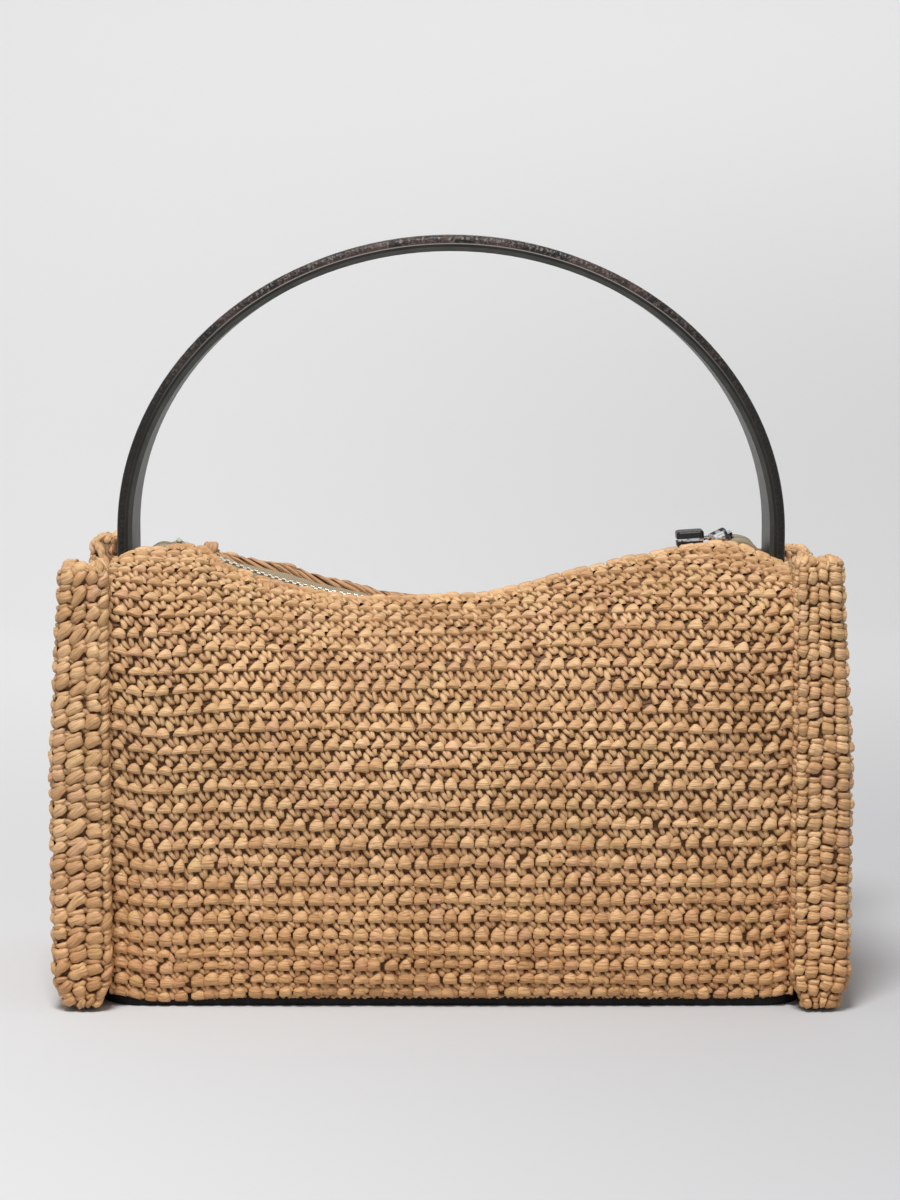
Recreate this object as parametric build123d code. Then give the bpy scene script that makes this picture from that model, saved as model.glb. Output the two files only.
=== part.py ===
from build123d import *
import math
import os

# Small structured shoulder bag: crocheted raffia walls, leather-covered base, curved zip mouth and one
# stiff arched leather handle. Millimetres. +X runs along the bag, -Y is its front, +Z is up, and the
# origin is on the floor under the middle of the base.

# Named clearances
seam_gap = 0.4
touch = 0.3
anchor_gap = 0.35  # between an anchor patch and the end wall
strap_gap = 0.15  # between an anchor patch and the handle
close_clearance = 0.05  # rivets in their bores, teeth on the tape
slider_clearance = 0.3

# Ends and their corner ridges
bag_length = 280.0  # over the two ends at their widest
bag_depth = 120.0  # over the corner ridges near the floor
ridge_height = 160.0
ridge_width = 20.0  # along X, seen from the front
ridge_thickness = 9.0
ridge_run = 14.0  # how far a ridge reaches round the corner, along Y
ridge_lean = 6.0  # the ridges lean in this much by their top, front and back
ridge_tuck = 4.0  # the ridges' feet and tops stand in this much along X
ridge_foot = 12.0  # height of the rolled-in foot
ridge_corner = 3.5
end_wall = 5.0
end_recess_low = 4.5  # how far an end wall stands in from its ridges
end_recess_high = 12.2
end_recess_height = 88.0  # where the deeper recess is reached
end_dip = 10.0  # drop of an end's top edge, between its ridges
end_dip_corner = 9.0

# Front and back panels
crochet_thickness = 4.5
panel_setback = 8.0  # from the ridges' faces
panel_bulge = 4.0
panel_foot_tuck = 6.0
belly_height = 70.0
mouth_half_width = 9.0
mouth_handle_gap = 1.5  # the mouth opens out to leave this much beside the handle
mouth_spread = 16.0  # the length over which it does so
front_crest_left = -0.5  # the panel's top edge, above the zip's line
front_crest_right = 3.5
back_crest = 3.5
crest_run = 120.0  # the length over which the crest changes
shoulder_drop = 5.5  # from the ridges' tops to the ends of the panels' top edges
lean_middle = 62.0  # degrees that the panel's outline runs through, up to its top edge
lean_end = 86.0
squareness_middle = 2.0
squareness_end = 5.0
foot_squareness = 2.6

# Base
base_thickness = 4.8
base_leather_wall = 1.4
base_turnover = 15.0
base_setback = 10.0  # from the ridges' faces
base_corner = 16.0

# Handle
handle_rise = 106.8
handle_spring = 4.5  # where its straight feet turn into the arch, above the ridges
handle_foot = 68.5  # length of the straight feet
handle_width = 28.0
handle_outer_thickness = 2.2
handle_core_thickness = 1.8
handle_inner_thickness = 1.6
handle_core_margin = 2.0
handle_dome = 1.7

# Anchors inside the ends
patch_thickness = 2.0
patch_margin = 3.0  # beside the handle
patch_below = 6.0  # below the handle's foot
patch_top_gap = 3.0  # under the end wall's top edge
patch_corner = 5.0
rivet_first = 12.0  # above the handle's foot
rivet_spacing = 20.0
rivet_radius = 1.6
rivet_head_radius = 3.6
rivet_head = 1.2

# Zip: its line is an arc, centred above the bag
zip_end_angle = 26.67  # degrees that its arc turns through from the middle to each end
zip_end_rise = 0.95  # the arc's ends stand this much above the ridges
tape_tail_gap = 1.15  # between the turned-down tape and the rivets' heads
zip_teeth_margin = 2.0  # from the arc's end to the last tooth
mouth_margin = 7.5  # from the arc's end to where the mouth starts to open out
tape_thickness = 0.7
tape_turn_radius = 7.6
tape_tail_drop = 11.0
tape_hem = 8.0
tooth_pitch = 2.7
tooth_width = 2.6
tooth_height = 2.4
tooth_corner = 0.5
tooth_slot = 0.6  # half the slot that the slider's post runs in
tape_in_tooth = 0.55  # how much of a tooth lies clear of the tape, towards the slot
stop_length = 1.6
stop_place = 1.2  # in tooth pitches, past the last tooth

# Slider and puller, drawn at the bottom of the zip's arc
slider_margin = 2.5  # from the arc's end to the closed slider's middle
slider_length = 10.4
slider_half_width = 4.5
slider_corner = 2.2
slider_plate = 1.1
slider_flange = 0.7
post_length = 1.6
post_clearance = 0.25
bridge_length = 7.2
bridge_width = 1.6
bridge_bar = 1.2
bridge_corner = 1.3
window_corner = 0.4
link_bar_radius = 0.5
link_arm = 1.0
link_arm_gap = 0.5
link_half_width = 4.0
link_thickness = 1.1
link_back = 1.6  # hinge line, back from the slider's middle
arm_reach = 3.4  # from the hinge line to the tongue
puller_length = 13.0
puller_tilt = 22.0
puller_half_width = 4.6
puller_top_leather = 2.6
puller_bottom_leather = 2.2
puller_top_start = 0.2  # from the tongue's root to each pad
puller_bottom_start = 0.6
puller_corner = 1.6
puller_edge = 0.9

# Lining
lining_thickness = 0.8
lining_gap = 2.0  # between the crochet's inner face and the lining
pocket_half_length = 75.0
pocket_low = 34.0
pocket_high = 108.0

end_x = bag_length / 2
half_bag_depth = bag_depth / 2
ridge_inner_x = end_x - ridge_width
panel_end_x = ridge_inner_x - seam_gap
panel_half_depth = half_bag_depth - panel_setback
foot_half_depth = panel_half_depth - panel_foot_tuck
end_inner_x = end_x - end_recess_high - end_wall

half_strap = handle_width / 2
patch_in = end_inner_x - anchor_gap - patch_thickness
patch_out = patch_in + patch_thickness
handle_half_span = patch_in - strap_gap
handle_spring_height = ridge_height + handle_spring
handle_foot_height = handle_spring_height - handle_foot

handle_core_depth = handle_outer_thickness + handle_core_thickness
handle_thickness = handle_core_depth + handle_inner_thickness
handle_inner_x = handle_half_span - handle_thickness
tape_tail_x = handle_inner_x - rivet_head - tape_tail_gap  # the tails' outer faces
zip_swing = math.radians(zip_end_angle)
zip_half_reach = tape_tail_x - tape_thickness / 2 - tape_turn_radius * (1 + math.sin(zip_swing))
zip_radius = zip_half_reach / math.sin(zip_swing)
zip_end_height = ridge_height + zip_end_rise
arc_centre_height = zip_end_height + zip_radius * math.cos(zip_swing)
zip_low_height = arc_centre_height - zip_radius
zip_half_length = zip_half_reach - zip_teeth_margin
mouth_half_length = zip_half_reach - mouth_margin
mouth_half_width_at_handle = half_strap + mouth_handle_gap
tape_tail_height = zip_end_height - tape_tail_drop


def zip_height(x):
    """Height of the zip's line, an arc that sags between the two ends."""
    return arc_centre_height - math.sqrt(zip_radius**2 - x**2)


def ease(value):
    """0 to 1 with level ends."""
    value = min(max(value, 0.0), 1.0)
    return value * value * (3 - 2 * value)


def past_zip(x):
    """0 along the zip, 1 at the ridges."""
    return ease((abs(x) - mouth_half_length) / (panel_end_x - mouth_half_length))


def mouth_y(x):
    """How far a panel's top edge stands from the zip's line; it opens out for the handle's foot."""
    spread = ease((abs(x) - mouth_half_length) / mouth_spread)
    return mouth_half_width + (mouth_half_width_at_handle - mouth_half_width) * spread


def crest_height(x, crest_left, crest_right):
    """Height of a panel's top edge: it follows the zip, then levels off and drops to the ridges."""
    crest = crest_left + (crest_right - crest_left) * ease(0.5 + x / crest_run)
    along_zip = zip_height(min(abs(x), mouth_half_length)) + crest
    past = past_zip(x)
    return along_zip * (1 - past) + (ridge_height - shoulder_drop) * past


def panel_outline(x, crest, inset, foot_y, foot_z):
    """Points (y, z) up a front panel's section at x, from its foot to its top edge."""
    across = abs(x) / panel_end_x
    boxy = across**4
    depth = panel_half_depth + panel_bulge * (1 - across**2) - inset
    edge_y = mouth_y(x)
    edge_z = crest_height(x, *crest) - inset
    power = 2 / (squareness_middle + (squareness_end - squareness_middle) * boxy)
    last = math.radians(lean_middle + (lean_end - lean_middle) * boxy)
    half_depth = (depth - edge_y) / (1 - math.cos(last) ** power)
    half_height = (edge_z - belly_height) / math.sin(last) ** power
    points = []
    foot_power = 2 / foot_squareness
    foot_steps = 6
    for step in range(foot_steps):
        turn = math.pi / 2 * (1 - step / foot_steps)
        y = foot_y + (depth - foot_y) * abs(math.cos(turn)) ** foot_power
        z = belly_height - (belly_height - foot_z) * math.sin(turn) ** foot_power
        points.append((-y, z))
    lean_steps = 9
    for step in range(lean_steps + 1):
        turn = last * step / lean_steps
        y = depth - half_depth * (1 - math.cos(turn) ** power)
        z = belly_height + half_height * math.sin(turn) ** power
        points.append((-y, z))
    return points


def panel_section(x, crest, inset, thickness, foot_y, foot_z):
    """Closed section of a front panel or its lining at x."""
    outer = [Vector(x, y, z) for y, z in panel_outline(x, crest, inset, foot_y, foot_z)]
    inner_points = panel_outline(x, crest, inset + thickness, foot_y, foot_z + thickness)
    inner = [Vector(x, y, z) for y, z in inner_points]
    outline = Wire(
        [
            Spline(*outer),
            Line(outer[-1], inner[-1]),
            Spline(*reversed(inner)),
            Line(inner[0], outer[0]),
        ]
    )
    return Face(outline)


def panel_solid(crest, inset, thickness, half_length, foot_y, foot_z):
    """A curved wall that spans the bag between its ends, lofted through its sections."""
    past_mouth = half_length - mouth_half_length
    stations = [mouth_half_length * share for share in (0.32, 0.62, 0.86, 1.0)]
    stations += [mouth_half_length + past_mouth * share for share in (0.36, 0.67, 1.0)]
    places = [-x for x in reversed(stations)] + [0.0] + stations
    sections = [panel_section(x, crest, inset, thickness, foot_y, foot_z) for x in places]
    return loft(sections, ruled=True)


def slab_xz(sketch, low_y, high_y):
    """A sketch drawn in X and Z, made into a slab between two depths."""
    return Pos(0, high_y, 0) * extrude(Plane.XZ * sketch, high_y - low_y)


def slab_yz(sketch, low_x, high_x):
    """A sketch drawn in Y and Z, made into a slab between two places along the bag."""
    return Pos(low_x, 0, 0) * extrude(Plane.YZ * sketch, high_x - low_x)


def block(low_x, high_x, low_y, high_y, low_z, high_z):
    middle = ((low_x + high_x) / 2, (low_y + high_y) / 2, (low_z + high_z) / 2)
    return Pos(*middle) * Box(high_x - low_x, high_y - low_y, high_z - low_z)


def to_back(solid):
    return mirror(solid, Plane.XZ)


def to_left(solid):
    return mirror(solid, Plane.YZ)


def save(name, shape):
    export_step(shape, f"parts/{name}.step")


# Crocheted front and back
front_crest = (front_crest_left, front_crest_right)
rear_crest = (back_crest, back_crest)
panel_shape = (0.0, crochet_thickness, panel_end_x, foot_half_depth, base_thickness)
front_panel = panel_solid(front_crest, *panel_shape)
back_panel = to_back(panel_solid(rear_crest, *panel_shape))


# Crocheted ends with their corner ridges
def end_section(height, out_x, half_depth, recess):
    wall_x = out_x - recess
    inner_x = wall_x - end_wall
    ridge_back = half_depth - ridge_thickness
    side = half_depth - ridge_run
    corner_steps = [
        (ridge_inner_x, -half_depth),
        (out_x, -half_depth),
        (out_x, -side),
        (wall_x, -side + recess),
        (wall_x, side - recess),
        (out_x, side),
        (out_x, half_depth),
        (ridge_inner_x, half_depth),
        (ridge_inner_x, ridge_back),
        (inner_x, ridge_back),
        (inner_x, -ridge_back),
        (ridge_inner_x, -ridge_back),
    ]
    outline = make_face(Polyline(*corner_steps, close=True))
    outer = [v for v in outline.vertices() if abs(abs(v.Y) - half_depth) < 1e-6]
    return Pos(0, 0, height) * fillet(outer, ridge_corner)


def end_panel():
    top_x = end_x - ridge_tuck
    recess_at_top = end_recess_high - ridge_tuck
    recess_at_floor = end_recess_low - ridge_tuck / 4
    sections = [
        end_section(0, end_x - ridge_tuck, half_bag_depth - ridge_tuck / 2, recess_at_floor),
        end_section(ridge_foot, end_x, half_bag_depth, end_recess_low),
        end_section(end_recess_height, end_x, half_bag_depth - ridge_lean / 3, end_recess_high),
        end_section(ridge_height, top_x, half_bag_depth - ridge_lean, recess_at_top),
    ]
    walls = loft(sections, ruled=True)
    dip_half = half_bag_depth - ridge_lean - ridge_run
    dip = Pos(0, ridge_height) * Rectangle(2 * dip_half, 2 * end_dip)
    dip = fillet(dip.vertices(), end_dip_corner)
    return walls - slab_yz(dip, 0, bag_length)


right_end_panel = end_panel()
left_end_panel = to_left(right_end_panel)

# Base: leather turned over the edges of a stiff board
base_half_length = end_x - ridge_tuck - end_recess_low - end_wall - seam_gap
base_half_depth = half_bag_depth - base_setback
base_outline = RectangleRounded(2 * base_half_length, 2 * base_half_depth, base_corner)
base_block = extrude(base_outline, base_thickness)
base_block = fillet(base_block.edges().group_by(Axis.Z)[0], base_leather_wall)
board_outline = offset(base_outline, -base_leather_wall)
board_thickness = base_thickness - 2 * base_leather_wall
base_board = Pos(0, 0, base_leather_wall) * extrude(board_outline, board_thickness)
base_window = Pos(0, 0, base_thickness / 2) * extrude(offset(base_outline, -base_turnover), base_thickness)
base_leather = base_block - base_board - base_window

# Lining, sewn as a front, a back and a strip that runs down one end, under and up the other
lining_x = tape_tail_x - lining_thickness
lining_slack = crochet_thickness + lining_gap
lining_foot_half_depth = panel_half_depth - lining_slack - lining_thickness
lining_foot_z = base_thickness + crochet_thickness + touch
lining_shape = (lining_slack, lining_thickness, lining_x - touch, lining_foot_half_depth, lining_foot_z)
lining_front = panel_solid(front_crest, *lining_shape)
lining_back = to_back(panel_solid(rear_crest, *lining_shape))
strip_low = base_thickness + seam_gap


def lining_end():
    """The strip's end wall, cut to the inside of the front and back lining."""
    inset = lining_slack + lining_thickness + touch
    foot_z = lining_foot_z + lining_thickness
    top = tape_tail_height - touch
    below_top = top - lining_thickness
    front = panel_outline(lining_x, front_crest, inset, lining_foot_half_depth, foot_z)
    back = panel_outline(lining_x, rear_crest, inset, lining_foot_half_depth, foot_z)
    front = [(y, z) for y, z in front if z < below_top]
    back = [(-y, z) for y, z in back if z < below_top]
    outline = [(front[0][0], strip_low), *front, (-mouth_half_width, top), (mouth_half_width, top)]
    outline += [*reversed(back), (back[0][0], strip_low)]
    return slab_yz(make_face(Polyline(*outline, close=True)), lining_x, lining_x + lining_thickness)


def lining_bottom():
    """The strip under the bag's contents, with its edges turned up to meet the front and back lining."""
    half = lining_foot_half_depth
    bottom = block(-lining_x, lining_x, -half, half, strip_low, strip_low + lining_thickness)
    hem = block(-lining_x, lining_x, -half, lining_thickness - half, strip_low, lining_foot_z - touch)
    return bottom + hem + to_back(hem)


lining_gusset = lining_bottom() + lining_end() + to_left(lining_end())


# Slip pocket, sewn flat on the back lining
def pocket_section(x):
    inset = lining_slack + lining_thickness + touch
    shape = (rear_crest, inset, lining_foot_half_depth, lining_foot_z + lining_thickness)
    outline = [p for p in panel_outline(x, *shape) if pocket_low < p[1] < pocket_high]
    outer = [Vector(x, y, z) for y, z in outline]
    inner = [p + Vector(0, lining_thickness, 0) for p in outer]
    edges = [Spline(*outer), Line(outer[-1], inner[-1]), Spline(*reversed(inner)), Line(inner[0], outer[0])]
    return Face(Wire(edges))


pocket_places = [pocket_half_length * step / 3 for step in range(-3, 4)]
slip_pocket = to_back(loft([pocket_section(x) for x in pocket_places], ruled=True))


# Zip tapes: a band along the arc, a hem sewn to the crochet, and a tail turned down at each end
def arc_band(inner_radius, outer_radius, reach):
    centre = (0, arc_centre_height)
    swing = math.degrees(math.asin(reach / zip_radius))
    inner = CenterArc(centre, inner_radius, 270 - swing, 2 * swing)
    outer = CenterArc(centre, outer_radius, 270 - swing, 2 * swing)
    return make_face(inner + Line(inner @ 1, outer @ 1) + outer + Line(outer @ 0, inner @ 0))


def tape_tail():
    """The right-hand tail, in X and Z: over a small turn and straight down beside the handle."""
    start = Vector(zip_half_reach, zip_height(zip_half_reach))
    centre = start + Vector(math.sin(zip_swing), -math.cos(zip_swing)) * tape_turn_radius
    from_angle = 90 + math.degrees(zip_swing)
    half = tape_thickness / 2
    upper = CenterArc(centre, tape_turn_radius + half, 0, from_angle)
    lower = CenterArc(centre, tape_turn_radius - half, 0, from_angle)
    turn = make_face(upper + Line(upper @ 1, lower @ 1) + lower + Line(lower @ 0, upper @ 0))
    low, high = tape_tail_height, centre.Y
    straight = Pos(centre.X + tape_turn_radius, (low + high) / 2) * Rectangle(tape_thickness, high - low)
    return turn + straight


def zip_tape():
    half = tape_thickness / 2
    inner_edge = tooth_slot + tape_in_tooth
    outer_edge = mouth_half_width - seam_gap
    band = slab_xz(arc_band(zip_radius - half, zip_radius + half, zip_half_reach), inner_edge, outer_edge)
    hem_face = arc_band(zip_radius, zip_radius + tape_hem, zip_half_reach)
    hem = slab_xz(hem_face, outer_edge - tape_thickness, outer_edge)
    tail = slab_xz(tape_tail(), inner_edge, outer_edge)
    return band + hem + tail + to_left(tail)


zip_tape_back = zip_tape()
zip_tape_front = to_back(zip_tape_back)


# Zip teeth: one clamped tooth, turned along the arc
def on_arc(solid, angle):
    """Swing a piece drawn at the bottom of the zip's arc towards +X."""
    return solid.rotate(Axis((0, 0, arc_centre_height), (0, 1, 0)), -angle)


def tooth_at_bottom(length):
    middle_y = tooth_slot + tooth_width / 2
    body = Pos(0, middle_y, zip_low_height) * Box(length, tooth_width, tooth_height)
    body = fillet(body.edges().filter_by(Axis.X), tooth_corner)
    jaw_half = tape_thickness / 2 + close_clearance
    jaw_low = tooth_slot + tape_in_tooth - close_clearance
    jaw = block(
        -length, length, jaw_low, jaw_low + tooth_width, zip_low_height - jaw_half, zip_low_height + jaw_half
    )
    return body - jaw


tooth_angle = math.degrees(tooth_pitch / zip_radius)
row_half_angle = math.degrees(math.asin(zip_half_length / zip_radius))
teeth_each_side = int(row_half_angle / tooth_angle)
tooth = tooth_at_bottom(tooth_pitch / 2)
back_teeth = [on_arc(tooth, i * tooth_angle) for i in range(-teeth_each_side, teeth_each_side + 1)]
front_tooth = to_back(tooth)
front_teeth = [on_arc(front_tooth, (i + 0.5) * tooth_angle) for i in range(-teeth_each_side, teeth_each_side)]
zip_teeth_back = Compound(back_teeth)
zip_teeth_front = Compound(front_teeth)

# Stops: a pair past the last teeth on the right, one bridge piece on the left
last_angle = (teeth_each_side + stop_place) * tooth_angle
stop_tooth = tooth_at_bottom(stop_length)
top_stop = on_arc(stop_tooth, last_angle)
zip_top_stops = Compound([top_stop, to_back(top_stop)])
bridge_stop = stop_tooth + to_back(stop_tooth)
stop_tie = Pos(0, 0, zip_low_height) * Box(stop_length, 2 * tooth_slot, tooth_height / 2)
zip_bottom_stop = on_arc(bridge_stop + stop_tie, -last_angle)


# Slider: two plates joined by a thin post at its leading end, with a bridge for the puller
def slider_at_bottom():
    level = zip_low_height
    half_length = slider_length / 2
    plate_in = tooth_height / 2 + slider_clearance
    plate_out = plate_in + slider_plate
    tape_slot = tape_thickness / 2 + slider_clearance
    inside_y = slider_half_width - slider_flange
    plate_outline = RectangleRounded(slider_length, 2 * slider_half_width, slider_corner)
    slider_block = Pos(0, 0, level - plate_out) * extrude(plate_outline, 2 * plate_out)
    channel = block(
        -slider_length, slider_length, -inside_y, inside_y, level - plate_in, level + plate_in
    )
    slot = block(
        -slider_length,
        slider_length,
        -2 * slider_half_width,
        2 * slider_half_width,
        level - tape_slot,
        level + tape_slot,
    )
    post_half = tooth_slot - post_clearance
    post = block(
        half_length - post_length, half_length, -post_half, post_half, level - plate_in, level + plate_in
    )
    body = slider_block - channel - slot + post
    window_high = 2 * link_bar_radius + slider_clearance
    bridge_top = plate_out + window_high + bridge_bar
    bridge = Rectangle(bridge_length, bridge_top - plate_out, align=(Align.CENTER, Align.MIN))
    bridge = fillet(bridge.vertices().group_by(Axis.Y)[-1], bridge_corner)
    window = Rectangle(bridge_length - 2 * bridge_bar, window_high, align=(Align.CENTER, Align.MIN))
    window = fillet(window.vertices().group_by(Axis.Y)[-1], window_corner)
    arch = Pos(0, level + plate_out) * (bridge - window)
    return body + slab_xz(arch, -bridge_width / 2, bridge_width / 2)


hinge_height = (
    zip_low_height + tooth_height / 2 + 1.5 * slider_clearance + slider_plate + link_bar_radius
)
slider_angle = math.degrees(math.asin((zip_half_reach - slider_margin) / zip_radius))
zip_slider = on_arc(slider_at_bottom(), slider_angle)


# Puller: a chrome link hung on the bridge, its tongue between two leather pads
def tilt_puller(solid):
    """Lift a piece drawn flat, turning it about the hinge line, then carry it to the closed slider."""
    hinge = Axis((-link_back, 0, hinge_height), (0, 1, 0))
    return on_arc(solid.rotate(hinge, puller_tilt), slider_angle)


arm_inner = bridge_width / 2 + link_arm_gap
arm_outer = arm_inner + link_arm
tongue_root = link_back + arm_reach
tongue_end = link_back + puller_length
half_link = link_thickness / 2
link_bar = Pos(-link_back, 0, hinge_height) * Rot(90, 0, 0) * Cylinder(link_bar_radius, 2 * arm_outer)
arm_low = hinge_height - link_bar_radius
arm = block(-tongue_root, -link_back, arm_inner, arm_outer, arm_low, arm_low + 2 * link_bar_radius)
leather_margin = puller_half_width - link_half_width
tongue_length = tongue_end - tongue_root
tongue_outline = RectangleRounded(tongue_length, 2 * link_half_width, puller_corner - leather_margin)
tongue_place = (-(tongue_root + tongue_end) / 2, 0, hinge_height - half_link)
tongue = Pos(*tongue_place) * extrude(tongue_outline, link_thickness)
puller_link = tilt_puller(link_bar + arm + to_back(arm) + tongue)


def puller_pad(near_end, low, high):
    """A leather pad on the tongue, drawn flat, between two heights."""
    length = tongue_end + leather_margin - near_end
    outline = RectangleRounded(length, 2 * puller_half_width, puller_corner)
    pad = Pos(-(near_end + length / 2), 0, low) * extrude(outline, high - low)
    rounded = pad.edges().group_by(Axis.Z)[-1 if low > hinge_height else 0]
    return tilt_puller(fillet(rounded, puller_edge))


pad_top = hinge_height + half_link
pad_bottom = hinge_height - half_link
pad_low = pad_bottom - puller_bottom_leather
puller_leather_top = puller_pad(tongue_root + puller_top_start, pad_top, pad_top + puller_top_leather)
puller_leather_bottom = puller_pad(tongue_root + puller_bottom_start, pad_low, pad_bottom)


# Handle: domed outer leather round a firm core, closed by a smooth inner strap
def arch_line(depth):
    """The handle's outline, as deep as asked inside its outer face."""
    span = handle_half_span - depth
    rise = handle_rise - depth
    left_foot = Line((-span, handle_foot_height), (-span, handle_spring_height))
    arch = EllipticalCenterArc((0, handle_spring_height), span, rise, start_angle=0, arc_size=180)
    right_foot = Line((span, handle_spring_height), (span, handle_foot_height))
    return left_foot + arch + right_foot


def handle_band(outer_depth, inner_depth):
    outer_span = handle_half_span - outer_depth
    inner_span = handle_half_span - inner_depth
    low = handle_foot_height
    left_end = Line((-outer_span, low), (-inner_span, low))
    right_end = Line((outer_span, low), (inner_span, low))
    return make_face(arch_line(outer_depth) + arch_line(inner_depth) + left_end + right_end)


def is_outer_handle_edge(edge):
    middle = edge @ 0.5
    on_side = abs(abs(middle.Y) - handle_width / 2) < 1e-4
    on_foot = abs(abs(middle.X) - handle_half_span) < 1e-4
    on_arch = middle.Z > handle_spring_height + handle_rise - 1e-3
    return on_side and (on_foot or on_arch)


half_core = half_strap - handle_core_margin
strap = slab_xz(handle_band(0, handle_core_depth), -half_strap, half_strap)
strap = fillet(strap.edges().filter_by(is_outer_handle_edge), handle_dome)
handle_core = slab_xz(handle_band(handle_outer_thickness, handle_core_depth), -half_core, half_core)
handle_outer_leather = strap - handle_core
handle_inner_leather = slab_xz(handle_band(handle_core_depth, handle_thickness), -half_strap, half_strap)

# Anchor patches and rivets, hidden between each end wall and the lining
patch_low = handle_foot_height - patch_below
patch_high = ridge_height - end_dip - patch_top_gap
patch_size = (handle_width + 2 * patch_margin, patch_high - patch_low)
patch_outline = Pos(0, (patch_low + patch_high) / 2) * RectangleRounded(*patch_size, patch_corner)
right_anchor_patch = slab_yz(patch_outline, patch_in, patch_out)


def along_x(radius, low_x, high_x, height):
    return Pos((low_x + high_x) / 2, 0, height) * Rot(0, 90, 0) * Cylinder(radius, high_x - low_x)


rivets = []
first_rivet = handle_foot_height + rivet_first
for height in (first_rivet, first_rivet + rivet_spacing):
    shank = along_x(rivet_radius, handle_inner_x, patch_out - rivet_head, height)
    outer_head = along_x(rivet_head_radius, patch_out - rivet_head, patch_out, height)
    inner_head = along_x(rivet_head_radius, handle_inner_x - rivet_head, handle_inner_x, height)
    rivets.append(shank + outer_head + inner_head)
    bore = along_x(rivet_radius + close_clearance, 0, end_x, height)
    recess = along_x(rivet_head_radius + close_clearance, patch_out - rivet_head, end_x, height)
    right_anchor_patch = right_anchor_patch - bore - recess
    both_bores = bore + to_left(bore)
    handle_outer_leather = handle_outer_leather - both_bores
    handle_core = handle_core - both_bores
    handle_inner_leather = handle_inner_leather - both_bores
right_anchor_rivets = Compound(rivets)

os.makedirs("parts", exist_ok=True)
save("front_panel", front_panel)
save("back_panel", back_panel)
save("left_end_panel", left_end_panel)
save("right_end_panel", right_end_panel)
save("base_leather", base_leather)
save("base_board", base_board)
save("lining_front", lining_front)
save("lining_back", lining_back)
save("lining_gusset", lining_gusset)
save("slip_pocket", slip_pocket)
save("zip_tape_front", zip_tape_front)
save("zip_tape_back", zip_tape_back)
save("zip_teeth_front", zip_teeth_front)
save("zip_teeth_back", zip_teeth_back)
save("zip_top_stops", zip_top_stops)
save("zip_bottom_stop", zip_bottom_stop)
save("zip_slider", zip_slider)
save("puller_link", puller_link)
save("puller_leather_top", puller_leather_top)
save("puller_leather_bottom", puller_leather_bottom)
save("handle_outer_leather", handle_outer_leather)
save("handle_core", handle_core)
save("handle_inner_leather", handle_inner_leather)
save("right_anchor_patch", right_anchor_patch)
save("left_anchor_patch", to_left(right_anchor_patch))
save("right_anchor_rivets", right_anchor_rivets)
save("left_anchor_rivets", to_left(right_anchor_rivets))
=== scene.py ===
import math

import bpy
import numpy as np
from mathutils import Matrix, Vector


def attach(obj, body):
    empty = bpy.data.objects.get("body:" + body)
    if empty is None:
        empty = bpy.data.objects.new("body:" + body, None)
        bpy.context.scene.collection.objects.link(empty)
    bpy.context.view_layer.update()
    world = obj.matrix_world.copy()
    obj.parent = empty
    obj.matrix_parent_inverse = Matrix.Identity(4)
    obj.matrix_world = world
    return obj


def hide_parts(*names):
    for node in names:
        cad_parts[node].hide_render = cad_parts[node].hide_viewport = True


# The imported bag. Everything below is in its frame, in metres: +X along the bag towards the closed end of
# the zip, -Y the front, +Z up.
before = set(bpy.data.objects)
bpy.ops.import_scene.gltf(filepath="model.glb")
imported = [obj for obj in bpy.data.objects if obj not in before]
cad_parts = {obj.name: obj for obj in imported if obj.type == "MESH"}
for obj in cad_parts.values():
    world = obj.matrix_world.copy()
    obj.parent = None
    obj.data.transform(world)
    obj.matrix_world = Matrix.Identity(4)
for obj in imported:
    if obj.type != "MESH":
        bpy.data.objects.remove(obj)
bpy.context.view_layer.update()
chance = np.random.default_rng(11)


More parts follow.
